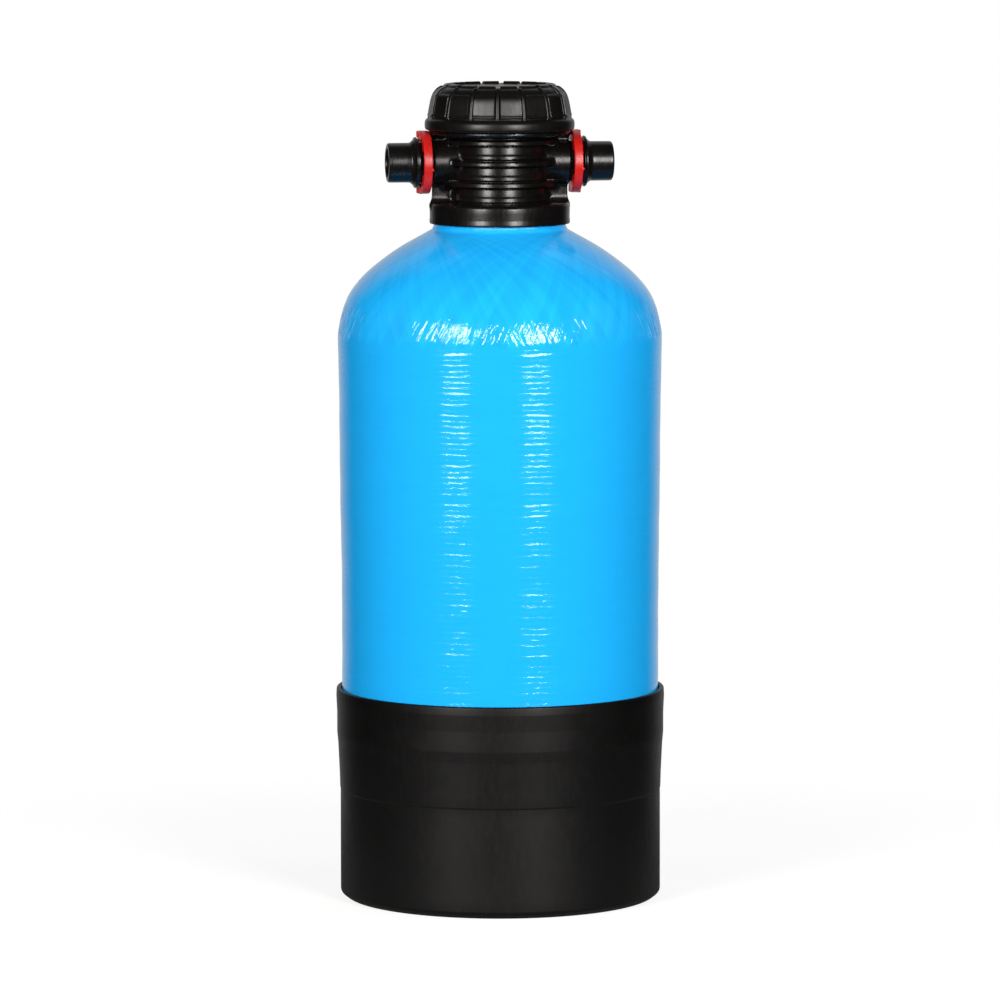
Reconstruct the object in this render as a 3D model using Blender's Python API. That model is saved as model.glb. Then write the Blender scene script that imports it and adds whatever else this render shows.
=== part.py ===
"""Portable deionization pressure vessel.

A filament-wound tank stands in a moulded boot. A moulded in/out head screws into the tank's
neck. A ribbed filler cap screws onto the head. Two spigots plug into the head's side ports,
each held by a horseshoe clip. Inside are the liner, the neck insert, the riser tube with its
two strainers, the outlet elbow, the seals and the resin.

Frame: metres, +Z up, origin on the axis at the boot's foot, ports along X.
The numbers below are millimetres and are turned into metres where the meshes are made.
"""
import math

import bmesh
import bpy
from mathutils import Matrix, Vector

MM = 0.001

# ---------------------------------------------------------------- driving dimensions, mm
GAP = 0.35                     # clearance between pieces that touch

# tank
R_CYL = 101.9                  # winding, lower cylinder
R_SHOULDER = 104.0             # winding builds up towards the upper shoulder
Z_CYL_BOTTOM = 98.0            # lower tangent line
Z_TAPER = 200.0                # the build-up starts here
Z_SHOULDER = 361.0             # upper tangent line
DOME_B = 84.0                  # lower dome's height
KNUCKLE_A, KNUCKLE_B = 44.8, 53.0   # upper knuckle's half axes
KNUCKLE_END = math.radians(61.6)
CONE_SLOPE = 0.639             # rise of the upper dome's straight part per mm of radius
R_NECK = 42.3
Z_NECK_TOP = 438.0
R_LINER = 98.4                 # liner's outside
T_LINER = 3.0

# neck insert and head thread (2.5 inch, 8 turns per inch)
R_INSERT_BORE = 35.4
R_HEAD_TUBE = 35.0
HEAD_PITCH = 3.175

# head
Z_HEAD_FOOT = 411.0
R_RING = 45.2
Z_RING = (434.8, 448.2)
R_CORE = 30.0
R_FIN = 35.5
Z_FINS = (460.6, 474.1, 487.5)
R_COLLAR = 44.6
R_BORE = 26.5                  # straight bore through the head
R_MOUTH = 37.0                 # filler mouth
R_LIP = 41.2                   # outside of the mouth's lip, under the cap
Z_BODY = (448.5, 490.65)       # finned body, between the adapter's ring and the neck
Z_NECK = (491.0, 508.5)

# side ports
Z_PORT = 474.2
R_BOSS = 13.9
R_FLANGE = 18.0
R_PORT_BORE = 11.0
R_GROOVE = 12.9                # the clip's lips drop into grooves of this radius
X_BOSS_END = 48.4

# spigots
R_SPIGOT = 12.6
X_SPIGOT_END = 72.7
R_SPIGOT_BORE = 9.0
R_PLUG, R_PLUG_BORE = 10.6, 7.0
R_SEAL_SEAT = 8.5

# clips
CLIP_X = (45.7, 51.4)
CLIP_LIP = 1.0
R_CLIP_LIP = 13.4
R_CLIP_IN = 18.35
R_CLIP_OUT = 20.0
CLIP_ARM = 6.0
CLIP_WINDOW = 0.46             # half angle at the front where the lips are cut away

# cap
CAP_RIBS = 16
CAP_PHASE = math.radians(259.7)     # angle of one rib
Z_CAP = (494.95, 524.4)
R_CAP_RIM = 48.0

# riser
R_RISER, R_RISER_BORE = 13.35, 11.0
Z_RISER = (63.4, 460.0)

# boot
R_BOOT = 103.2
Z_BOOT = 136.0

BIG, MID, SMALL, RING = 28, 28, 18, 24      # facets of the round pieces
DOME_STEPS, KNUCKLE_STEPS = 6, 4            # the nested domes share these, so gaps stay even


# ---------------------------------------------------------------- scene and helpers
for old in list(bpy.data.objects):
    bpy.data.objects.remove(old, do_unlink=True)

SCENE = bpy.context.scene.collection


def material(name, rgb, rough, metal=0.0):
    m = bpy.data.materials.new(name)
    m.use_nodes = True
    b = m.node_tree.nodes["Principled BSDF"]
    b.inputs["Base Color"].default_value = (*rgb, 1.0)
    b.inputs["Roughness"].default_value = rough
    b.inputs["Metallic"].default_value = metal
    return m


BLUE = material("blue_wound_shell", (0.015, 0.42, 0.90), 0.22)
BLACK = material("black_moulding", (0.012, 0.011, 0.011), 0.38)
BOOT = material("black_boot", (0.018, 0.017, 0.017), 0.55)
RED = material("red_clip", (0.72, 0.02, 0.02), 0.35)
SEAL = material("seal_rubber", (0.010, 0.010, 0.010), 0.60)
LINER = material("natural_liner", (0.62, 0.62, 0.58), 0.45)
WHITE = material("white_internal", (0.70, 0.71, 0.69), 0.40)
RESIN = material("mixed_resin", (0.42, 0.20, 0.06), 0.70)


def finish(bm, name, mat, smooth=35.0):
    """Turns a bmesh in millimetres into a named object in metres, its faces pointing out."""
    bmesh.ops.remove_doubles(bm, verts=bm.verts, dist=1e-4)
    bmesh.ops.recalc_face_normals(bm, faces=bm.faces)
    bmesh.ops.scale(bm, vec=(MM, MM, MM), verts=bm.verts)
    me = bpy.data.meshes.new(name)
    bm.to_mesh(me)
    bm.free()
    me.shade_smooth()
    me.set_sharp_from_angle(angle=math.radians(smooth))
    ob = bpy.data.objects.new(name, me)
    if mat:
        me.materials.append(mat)
    SCENE.objects.link(ob)
    return ob


def helper(ob):
    """A cutter, or a shape that is joined to another object: it isn't a piece itself."""
    ob.hide_render = True
    ob.display_type = "WIRE"
    return ob


def lathe_bmesh(profile, segments):
    """A closed (radius, height) outline turned about Z."""
    bm = bmesh.new()
    verts = [bm.verts.new((r, 0.0, z)) for r, z in profile]
    edges = []
    for i, v in enumerate(verts):
        w = verts[(i + 1) % len(verts)]
        if v.co.x < 1e-6 and w.co.x < 1e-6:
            continue                      # the stretch along the axis makes no face
        edges.append(bm.edges.new((v, w)))
    bmesh.ops.spin(bm, geom=verts + edges, cent=(0, 0, 0), axis=(0, 0, 1), dvec=(0, 0, 0),
                   angle=2 * math.pi, steps=segments, use_merge=True, use_duplicate=False)
    return bm


def lathe(name, profile, segments, mat=None):
    return finish(lathe_bmesh(profile, segments), name, mat)


def along_x(ob, side, z=Z_PORT):
    """Stands a piece that was turned about Z on a port's axis, pointing out of that side."""
    ob.location = (0.0, 0.0, z * MM)
    ob.rotation_euler = (0.0, side * math.pi / 2, 0.0)
    return ob


def boolean(ob, other, operation):
    m = ob.modifiers.new(other.name, "BOOLEAN")
    m.operation = operation
    m.object = other
    m.solver = "EXACT"
    return m


def weld(ob):
    """Closes the hairline splits that a Boolean can leave."""
    ob.modifiers.new("weld", "WELD").merge_threshold = 1e-5


def box(name, lo, hi):
    bm = bmesh.new()
    bmesh.ops.create_cube(bm, size=1.0)
    for v in bm.verts:
        v.co = [lo[k] + (v.co[k] + 0.5) * (hi[k] - lo[k]) for k in range(3)]
    return finish(bm, name, None)


def torus(name, R, r, z, mat, around=RING, across=5):
    """An O-ring about Z."""
    return lathe(name, [(R + r * math.cos(t), z + r * math.sin(t))
                        for t in (2 * math.pi * (k + 0.5) / across for k in range(across))],
                 around, mat)


def arc(cx, cz, ax, az, t0, t1, n):
    """n + 1 points of an ellipse's arc."""
    return [(cx + ax * math.cos(t0 + (t1 - t0) * k / n),
             cz + az * math.sin(t0 + (t1 - t0) * k / n)) for k in range(n + 1)]


# ---------------------------------------------------------------- tank: shared outlines
def lower_dome(radius, height, n):
    """From the axis out to the lower tangent line."""
    return arc(0.0, Z_CYL_BOTTOM, radius, height, -math.pi / 2, 0.0, n)


def lower_dome_z(radius, height, r):
    return Z_CYL_BOTTOM - height * math.sqrt(max(0.0, 1 - (r / radius) ** 2))


def upper_dome(radius, a, b, r_end, n):
    """From the upper tangent line round the knuckle and up the straight cone to r_end."""
    pts = arc(radius - a, Z_SHOULDER, a, b, 0.0, KNUCKLE_END, n)
    r, z = pts[-1]
    return pts + [(r_end, z + (r - r_end) * CONE_SLOPE)]


# wound shell: glass fibre over the liner, thicker towards the upper shoulder
outer = lower_dome(R_CYL, DOME_B, DOME_STEPS) + [(R_CYL, Z_TAPER)]
outer += upper_dome(R_SHOULDER, KNUCKLE_A, KNUCKLE_B, 45.2, 5)[:-1]
outer += [(67.3, 417.3), (44.9, 430.2), (R_NECK, 433.2), (R_NECK, Z_NECK_TOP)]
inner = lower_dome(R_LINER + GAP, DOME_B - 4.0, DOME_STEPS)
inner += upper_dome(R_LINER + GAP, 41.5, 48.9, 40.15, KNUCKLE_STEPS) + [(40.15, Z_NECK_TOP)]
lathe("wound_shell", outer + inner[::-1], BIG, BLUE)

# liner: blow-moulded, one piece from its neck to its closed bottom
outer = lower_dome(R_LINER, DOME_B - 4.35, DOME_STEPS)
outer += upper_dome(R_LINER, 41.5, 48.5, 39.8, KNUCKLE_STEPS) + [(39.8, Z_NECK_TOP - 0.4)]
inner = lower_dome(R_LINER - T_LINER, DOME_B - 4.35 - T_LINER, DOME_STEPS)
inner += upper_dome(R_LINER - T_LINER, 39.5, 45.5, 38.35, KNUCKLE_STEPS) + [(38.35, Z_NECK_TOP - 0.4)]
lathe("tank_liner", outer + inner[::-1], BIG, LINER)

# neck insert: the threaded moulding that the liner is blown round
def liner_inside_z(r):
    """Height of the liner's inner face on the upper cone."""
    r0 = R_LINER - T_LINER - 39.5 * (1 - math.cos(KNUCKLE_END))
    return Z_SHOULDER + 45.5 * math.sin(KNUCKLE_END) + (r0 - r) * CONE_SLOPE


lathe("neck_insert", [
    (R_INSERT_BORE, Z_NECK_TOP - 0.4), (R_INSERT_BORE, 409.0), (38.6, 409.0),
    (50.0, liner_inside_z(50.0) - 3.2), (50.0, liner_inside_z(50.0) - 0.5),
    (38.0, liner_inside_z(38.0) - 0.5), (38.0, Z_NECK_TOP - 0.4)], BIG, WHITE)

# ---------------------------------------------------------------- boot
def seat(r):
    """Height at which the boot's inner ring meets the tank's lower dome."""
    return lower_dome_z(R_CYL, DOME_B, r) - 0.4


lathe("base_boot", [
    (10.0, 2.0), (86.0, 2.0), (87.5, 0.0), (98.6, 0.0), (101.9, 1.5), (R_BOOT, 5.0),
    (R_BOOT, 70.0), (104.1, 87.0), (105.3, 108.0), (105.75, 133.0), (104.8, Z_BOOT),
    (102.3, Z_BOOT), (102.3, Z_CYL_BOTTOM), (100.1, 72.0), (99.9, 9.0), (96.0, 4.6),
    (57.0, 4.6), (57.0, seat(57.0)), (52.0, seat(52.0)), (52.0, 4.6), (10.0, 4.6)],
    BIG, BOOT)

# ---------------------------------------------------------------- head
# Three mouldings welded into one head: the threaded adapter with its ring, the finned body
# with its ports, and the filler neck that the cap screws on.
lathe("head_adapter", [
    (24.2, Z_HEAD_FOOT), (R_HEAD_TUBE, Z_HEAD_FOOT), (R_HEAD_TUBE, 441.0), (42.8, 441.0),
    (42.8, Z_RING[0]), (R_RING, Z_RING[0]), (R_RING, 444.6), (44.1, 447.3),
    (41.0, Z_RING[1]), (R_BORE, Z_RING[1]), (R_BORE, 413.2), (24.2, 413.2)], MID, BLACK)

lathe("filler_neck", [
    (R_BORE, Z_NECK[0]), (42.6, Z_NECK[0]), (R_COLLAR, 492.4), (R_COLLAR, 494.6),
    (R_LIP, 494.6), (R_LIP, Z_NECK[1]), (R_MOUTH, Z_NECK[1]), (R_MOUTH, 496.5),
    (R_BORE, 493.4)], MID, BLACK)

# the body is solid to the axis at first
core = [(0.0, Z_BODY[0]), (R_CORE, Z_BODY[0])]
for z in Z_FINS:
    core += [(R_CORE, z - 1.9), (R_FIN, z - 1.1), (R_FIN, z + 1.1), (R_CORE, z + 1.9)]
core += [(R_CORE, Z_BODY[1]), (0.0, Z_BODY[1])]
head = lathe("head_body", core, MID, BLACK)
head.rotation_euler = (0.0, 0.0, math.pi / MID)      # a facet, not an edge, faces each port

for side, tag in ((-1, "inlet"), (1, "outlet")):
    # port boss with its end flange; the clip's inner lip drops into the groove behind the flange
    boss = lathe(f"{tag}_boss_shape", [
        (0.0, 20.0), (R_BOSS, 20.0), (R_BOSS, 44.1), (R_GROOVE, 44.1), (R_GROOVE, 47.05),
        (R_FLANGE, 47.05), (R_FLANGE, X_BOSS_END), (0.0, X_BOSS_END)],
        SMALL)
    boolean(head, helper(along_x(boss, side)), "UNION")
    x = sorted((side * 26.0, side * 43.8))
    web = box(f"{tag}_web_shape", (x[0], -2.0, Z_BODY[0] + 0.3), (x[1], 2.0, Z_BODY[1] - 0.3))
    boolean(head, helper(web), "UNION")

# the bore and both ports are cut as one
bore = lathe("head_bore_cutter", [(0.0, 430.0), (R_BORE, 430.0), (R_BORE, 500.0), (0.0, 500.0)],
             MID)
bore.rotation_euler = head.rotation_euler
for side, tag in ((-1, "inlet"), (1, "outlet")):
    port = lathe(f"{tag}_port_cutter", [
        (0.0, 15.0), (8.6, 15.0), (8.6, 33.2), (R_PORT_BORE, 33.2), (R_PORT_BORE, 47.5),
        (R_PORT_BORE + 1.3, 58.3), (0.0, 58.3)], SMALL)
    boolean(bore, helper(along_x(port, side)), "UNION")
boolean(head, helper(bore), "DIFFERENCE")
weld(head)

torus("head_seal", 38.9, 1.15, 439.5, SEAL)

# ---------------------------------------------------------------- filler cap
# Round the cap the outline goes rib, groove, panel, groove for each rib. rib_rise is how far
# a point of the outline stands out at the rib, panel_rise at the panel's middle.
RIB_STEPS = ((0.0, "rib"), (0.17, "groove"), (0.5, "panel"), (0.83, "groove"))
CAP_OUT = [  # radius at the groove, height, rib rise, panel rise
    (47.4, 494.95, 0.0, 0.0), (R_CAP_RIM, 496.2, 0.0, 0.0), (R_CAP_RIM, 501.2, 0.0, 0.0),
    (45.2, 503.2, 1.3, 0.7), (43.0, 515.2, 1.3, 0.7), (41.0, 519.6, 1.2, 0.6),
    (37.0, 521.9, 1.0, 0.6)]
CAP_TOP = [(27.5, Z_CAP[1]), (0.0, Z_CAP[1])]
CAP_IN = [(0.0, 519.0), (31.2, 519.0), (31.2, 497.8), (36.6, 497.8), (36.6, 501.2),
          (33.9, 501.2), (33.9, 504.5), (36.6, 504.5), (36.6, 509.2), (42.2, 509.2),
          (42.2, 494.95)]


def cap_bmesh():
    bm = bmesh.new()
    angles = [(2 * math.pi * (k + f) / CAP_RIBS, kind)
              for k in range(CAP_RIBS) for f, kind in RIB_STEPS]
    rows = []
    for r, z, rib, panel in CAP_OUT:
        row = []
        for t, kind in angles:
            rr = r + {"rib": rib, "panel": panel, "groove": 0.0}[kind]
            row.append(bm.verts.new((rr * math.cos(t), rr * math.sin(t), z)))
        rows.append(row)
    for r, z in CAP_TOP[:-1]:
        rows.append([bm.verts.new((r * math.cos(t), r * math.sin(t), z)) for t, _ in angles])
    top = bm.verts.new((0.0, 0.0, CAP_TOP[-1][1]))
    under = bm.verts.new((0.0, 0.0, CAP_IN[0][1]))
    inside = []
    for r, z in CAP_IN[1:]:
        inside.append([bm.verts.new((r * math.cos(t), r * math.sin(t), z)) for t, _ in angles])
    n = len(angles)
    for a, b in zip(rows, rows[1:]):
        for i in range(n):
            bm.faces.new((a[i], a[(i + 1) % n], b[(i + 1) % n], b[i]))
    for a, b in zip(inside, inside[1:]):
        for i in range(n):
            bm.faces.new((a[i], a[(i + 1) % n], b[(i + 1) % n], b[i]))
    a, b = inside[-1], rows[0]
    for i in range(n):
        j = (i + 1) % n
        bm.faces.new((rows[-1][i], rows[-1][j], top))
        bm.faces.new((inside[0][j], inside[0][i], under))
        bm.faces.new((a[i], a[j], b[j], b[i]))
    return bm


cap = finish(cap_bmesh(), "filler_cap", BLACK)
cap.rotation_euler = (0.0, 0.0, CAP_PHASE)
torus("cap_seal", 35.45, 1.2, 502.85, SEAL)

# ---------------------------------------------------------------- spigots, clips and their seals
for side, tag in ((-1, "inlet"), (1, "outlet")):
    spigot = lathe(f"{tag}_spigot", [
        (R_PLUG_BORE, 34.0), (R_PLUG - 0.8, 34.0), (R_PLUG, 35.2), (R_PLUG, 37.4),
        (R_SEAL_SEAT, 37.4), (R_SEAL_SEAT, 40.1), (R_PLUG, 40.1), (R_PLUG, 42.6),
        (R_SEAL_SEAT, 42.6), (R_SEAL_SEAT, 45.3), (R_PLUG, 45.3), (R_PLUG, 48.7),
        (R_FLANGE, 48.7), (R_FLANGE, 50.05), (R_GROOVE, 50.05), (R_GROOVE, 54.0),
        (16.4, 54.0), (16.4, 55.1), (R_SPIGOT, 58.5), (R_SPIGOT, 71.3),
        (11.3, X_SPIGOT_END), (R_SPIGOT_BORE + 0.6, X_SPIGOT_END), (R_SPIGOT_BORE, 71.9),
        (R_SPIGOT_BORE, 57.5), (R_PLUG_BORE, 55.5)], SMALL, BLACK)
    along_x(spigot, side)
    for x, end in ((38.75, "inner"), (43.95, "outer")):
        along_x(torus(f"{tag}_{end}_seal", 9.72, 0.95, x, SEAL, around=16), side)

# A horseshoe clip: a channel section swept along a half circle and two short straight arms.
# The channel's band lies outside both flanges and its two lips drop behind them.
SECTION = [(R_CLIP_LIP, CLIP_X[0]), (R_CLIP_OUT, CLIP_X[0]), (R_CLIP_OUT, CLIP_X[1]),
           (R_CLIP_LIP, CLIP_X[1]), (R_CLIP_LIP, CLIP_X[1] - CLIP_LIP),
           (R_CLIP_IN, CLIP_X[1] - CLIP_LIP), (R_CLIP_IN, CLIP_X[0] + CLIP_LIP),
           (R_CLIP_LIP, CLIP_X[0] + CLIP_LIP)]


def clip_bmesh(side):
    """The open side faces +Y, so the clip pulls off towards -Y."""
    bm = bmesh.new()
    stations = [(math.pi / 2, CLIP_ARM)]
    stations += [(math.pi / 2 + math.pi * k / 14, 0.0) for k in range(15)]
    stations += [(3 * math.pi / 2, CLIP_ARM)]
    rows = []
    for t, arm in stations:
        front = abs(t - math.pi) < CLIP_WINDOW
        rows.append([bm.verts.new((side * x, r * math.cos(t) + arm, r * math.sin(t)))
                     for r, x in [(17.2 if front and r == R_CLIP_LIP else r, x)
                                  for r, x in SECTION]])
    n = len(SECTION)
    for a, b in zip(rows, rows[1:]):
        for i in range(n):
            bm.faces.new((a[i], a[(i + 1) % n], b[(i + 1) % n], b[i]))
    bm.faces.new(rows[0])
    bm.faces.new(rows[-1][::-1])
    return bm


for side, tag in ((-1, "inlet"), (1, "outlet")):
    clip = finish(clip_bmesh(side), f"{tag}_clip", RED)
    clip.location = (0.0, 0.0, Z_PORT * MM)

# ---------------------------------------------------------------- inside the head
# outlet elbow: a socket on the riser, closed at the top, with a short arm to the outlet port
elbow = lathe("outlet_elbow", [
    (0.0, 440.0), (18.0, 440.0), (18.0, 482.6), (14.5, 486.2), (0.0, 486.2)], SMALL, WHITE)
arm = lathe("elbow_arm_shape", [(0.0, 2.0), (10.4, 2.0), (10.4, 22.2), (0.0, 22.2)], SMALL)
boolean(elbow, helper(along_x(arm, 1)), "UNION")


def saddle(name, r_in, r_out, rho_in, rho_out, around, mat):
    """A round pad with a hole, bent to the head's bore, its hole facing along +X."""
    bm = bmesh.new()
    rows = []
    for k in range(around):
        t = 2 * math.pi * k / around
        row = []
        for rad, rho in ((r_in, rho_in), (r_in, rho_out), (r_out, rho_out), (r_out, rho_in)):
            y = rho * math.cos(t)
            row.append(bm.verts.new((math.sqrt(rad * rad - y * y), y, rho * math.sin(t))))
        rows.append(row)
    for k in range(around):
        a, b = rows[k], rows[(k + 1) % around]
        for i in range(4):
            bm.faces.new((a[i], a[(i + 1) % 4], b[(i + 1) % 4], b[i]))
    bmesh.ops.triangulate(bm, faces=bm.faces)      # bent quads would leave its sides unflat
    ob = finish(bm, name, mat)
    ob.location = (0.0, 0.0, Z_PORT * MM)
    return ob


pad = saddle("elbow_pad_shape", 21.6, 24.7, 7.0, 13.2, SMALL, None)
boolean(elbow, helper(pad), "UNION")
socket = lathe("elbow_socket_cutter", [
    (0.0, 430.0), (13.85, 430.0), (13.85, 446.6), (16.2, 446.6), (16.2, 450.0),
    (13.85, 450.0), (13.85, 463.0), (10.8, 463.0), (10.8, 478.0), (7.0, 482.4), (0.0, 482.4)],
    SMALL)
boolean(elbow, helper(socket), "DIFFERENCE")
window = lathe("elbow_window_cutter", [(0.0, 0.0), (7.6, 0.0), (7.6, 40.0), (0.0, 40.0)], SMALL)
boolean(elbow, helper(along_x(window, 1)), "DIFFERENCE")

saddle("outlet_gasket", 25.05, 26.1, 8.2, 12.6, SMALL, SEAL)
torus("riser_seal", 14.95, 0.98, 448.3, SEAL, around=16)

# ---------------------------------------------------------------- riser and strainers
lathe("riser_tube", [(R_RISER_BORE, Z_RISER[0]), (R_RISER, Z_RISER[0]),
                     (R_RISER, Z_RISER[1]), (R_RISER_BORE, Z_RISER[1])], SMALL, WHITE)


def slots(name, count, r_in, r_out, width, z0, z1):
    """Radial slot cutters in one mesh."""
    bm = bmesh.new()
    for k in range(count):
        made = bmesh.ops.create_cube(bm, size=1.0)["verts"]
        turn = Matrix.Rotation(2 * math.pi * (k + 0.5) / count, 3, "Z")
        for v in made:
            v.co = turn @ Vector((r_in + (v.co.x + 0.5) * (r_out - r_in), v.co.y * width,
                                  z0 + (v.co.z + 0.5) * (z1 - z0)))
    return helper(finish(bm, name, None))


upper = lathe("upper_strainer", [
    (13.85, 389.0), (15.6, 387.6), (21.0, 387.6), (22.6, 389.4), (22.6, 413.55),
    (26.1, 413.55), (26.1, 416.0), (20.6, 416.0), (20.6, 390.2), (15.9, 390.2),
    (15.9, 404.0), (13.85, 404.0)], SMALL, WHITE)
boolean(upper, slots("upper_slot_cutter", 12, 19.0, 24.5, 1.2, 393.0, 410.0), "DIFFERENCE")

lower = lathe("lower_strainer", [
    (0.0, 25.4), (27.0, 25.4), (28.8, 27.6), (20.2, 63.0), (16.6, 66.0), (16.6, 80.0),
    (13.7, 80.0), (13.7, 63.0), (10.8, 63.0), (10.8, 60.4), (17.6, 60.4), (26.0, 28.4),
    (0.0, 28.4)], SMALL, WHITE)
boolean(lower, slots("lower_slot_cutter", 12, 14.0, 34.0, 1.4, 32.0, 55.0), "DIFFERENCE")

# ---------------------------------------------------------------- resin bed
# beads fill the liner to just under the shoulder, round the riser and the lower strainer
R_BED = R_LINER - T_LINER - 0.4
bowl = lower_dome(R_BED, DOME_B - 4.35 - T_LINER - 0.4, DOME_STEPS)


def height_on(line, r):
    """Height of a (radius, height) line at a radius."""
    for (r0, z0), (r1, z1) in zip(line, line[1:]):
        if r0 <= r <= r1:
            return z0 + (z1 - z0) * (r - r0) / (r1 - r0)
    return line[-1][1]


R_ROUND_FOOT = 29.8
bed = [(R_ROUND_FOOT, height_on(bowl, R_ROUND_FOOT))] + [p for p in bowl if p[0] > R_ROUND_FOOT]
bed += [(R_BED, 345.0), (13.8, 345.0), (13.8, 80.6), (17.2, 80.6), (17.2, 66.4),
        (20.9, 63.2), (R_ROUND_FOOT, 27.2)]
lathe("resin_bed", bed, BIG, RESIN)
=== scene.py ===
import math

import bpy
import numpy as np
from mathutils import Matrix, Vector


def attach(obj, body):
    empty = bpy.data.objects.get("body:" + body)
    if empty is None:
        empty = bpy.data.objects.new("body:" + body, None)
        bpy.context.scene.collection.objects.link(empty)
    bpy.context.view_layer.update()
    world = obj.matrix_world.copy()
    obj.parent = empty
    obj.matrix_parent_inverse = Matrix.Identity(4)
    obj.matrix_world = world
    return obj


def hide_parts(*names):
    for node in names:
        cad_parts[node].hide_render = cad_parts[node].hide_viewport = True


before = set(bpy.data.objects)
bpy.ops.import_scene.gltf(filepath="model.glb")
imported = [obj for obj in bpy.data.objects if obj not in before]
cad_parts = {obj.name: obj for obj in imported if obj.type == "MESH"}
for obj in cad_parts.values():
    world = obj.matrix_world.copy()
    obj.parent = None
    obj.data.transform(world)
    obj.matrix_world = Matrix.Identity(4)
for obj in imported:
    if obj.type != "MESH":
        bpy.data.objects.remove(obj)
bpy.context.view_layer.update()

MM = 0.001
TAU = 2 * math.pi
Z_PORT = 474.2
CAM_AZ = math.radians(261.5)      # direction from the vessel to the camera, in plan


# ================================================================ mesh helpers (millimetres)
def add_mesh(name, verts, faces, mat, body, normals=None, attrs=None, sharp=None):
    """A mesh object in metres from arrays in millimetres, riding on a body."""
    me = bpy.data.meshes.new(name)
    me.from_pydata((np.asarray(verts) * MM).tolist(), [], faces)
    me.update()
    me.shade_smooth()
    if sharp is not None:
        me.set_sharp_from_angle(angle=math.radians(sharp))
    for key, values in (attrs or {}).items():
        a = me.attributes.new(key, "FLOAT_VECTOR", "POINT")
        a.data.foreach_set("vector", np.asarray(values, np.float32).ravel())
    if normals is not None:
        me.normals_split_custom_set_from_vertices(np.asarray(normals).tolist())
    me.materials.append(mat)
    ob = bpy.data.objects.new(name, me)
    bpy.context.scene.collection.objects.link(ob)
    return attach(ob, body)


def rounded(points, closed=False, arc_deg=10.0, step=None):
    """A polyline through (x, y[, radius]) corners, each corner rounded to its radius."""
    out, n = [], len(points)
    for i, p in enumerate(points):
        b = np.array(p[:2], float)
        rad = p[2] if len(p) > 2 else 0.0
        if rad <= 0 or (not closed and i in (0, n - 1)):
            out.append(b)
            continue
        a, c = np.array(points[i - 1][:2], float), np.array(points[(i + 1) % n][:2], float)
        u, v = a - b, c - b
        lu, lv = np.linalg.norm(u), np.linalg.norm(v)
        u, v = u / lu, v / lv
        ang = math.acos(max(-1.0, min(1.0, float(u @ v))))
        if ang > math.pi - 1e-3:
            out.append(b)
            continue
        t = min(rad / math.tan(ang / 2), 0.499 * lu, 0.499 * lv)
        rad = t * math.tan(ang / 2)
        mid = (u + v) / np.linalg.norm(u + v)
        centre = b + mid * rad / math.sin(ang / 2)
        s = b + u * t - centre
        sweep = math.pi - ang
        turn = 1.0 if s[0] * (b + v * t - centre)[1] - s[1] * (b + v * t - centre)[0] > 0 else -1.0
        k = max(2, int(math.ceil(math.degrees(sweep) / arc_deg)))
        for j in range(k + 1):
            w = turn * sweep * j / k
            out.append(centre + np.array([s[0] * math.cos(w) - s[1] * math.sin(w),
                                          s[0] * math.sin(w) + s[1] * math.cos(w)]))
    if step:
        dense = []
        ends = out + [out[0]] if closed else out
        for p, q in zip(ends, ends[1:]):
            k = max(1, int(np.linalg.norm(q - p) / step))
            dense += [p + (q - p) * j / k for j in range(k)]
        if not closed:
            dense.append(ends[-1])
        out = dense
    clean = [out[0]]
    for p in out[1:]:
        if np.linalg.norm(p - clean[-1]) > 1e-5:
            clean.append(p)
    return np.array(clean)


def revolve(profile, n, closed=True):
    """Turns an (r, z) outline about Z. Returns vertices, faces."""
    prof = np.asarray(profile, float)
    t = np.arange(n) * TAU / n
    verts, rows = [], []
    for r, z in prof:
        if r < 1e-6:
            rows.append([len(verts)] * n)
            verts.append((0.0, 0.0, z))
        else:
            rows.append(list(range(len(verts), len(verts) + n)))
            verts += list(zip(r * np.cos(t), r * np.sin(t), [z] * n))
    faces = []
    m = len(rows)
    for i in range(m if closed else m - 1):
        a, b = rows[i], rows[(i + 1) % m]
        for j in range(n):
            k = (j + 1) % n
            quad = [a[j], a[k], b[k], b[j]]
            face = [v for i2, v in enumerate(quad) if v not in quad[:i2]]
            if len(face) > 2:
                faces.append(tuple(face))
    return np.array(verts), faces


def outward(verts, faces, profile_ccw):
    """Flips the faces of a turned piece whose outline runs the other way."""
    return faces if profile_ccw else [tuple(reversed(f)) for f in faces]


def area2(profile):
    p = np.asarray(profile)
    q = np.roll(p, -1, axis=0)
    return float((p[:, 0] * q[:, 1] - q[:, 0] * p[:, 1]).sum())


def turned(name, profile, n, mat, body, sharp=35, along=None, **kw):
    """A closed outline turned about Z, or about the X axis of a port with along = -1 or +1."""
    verts, faces = revolve(profile, n)
    if area2(profile) < 0:
        faces = [tuple(reversed(f)) for f in faces]
    if along is not None:
        x, y, z = verts[:, 0].copy(), verts[:, 1].copy(), verts[:, 2].copy()
        verts = np.stack([along * z, y, x * -along + Z_PORT], 1)
    return add_mesh(name, verts, faces, mat, body, sharp=sharp, **kw)


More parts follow.
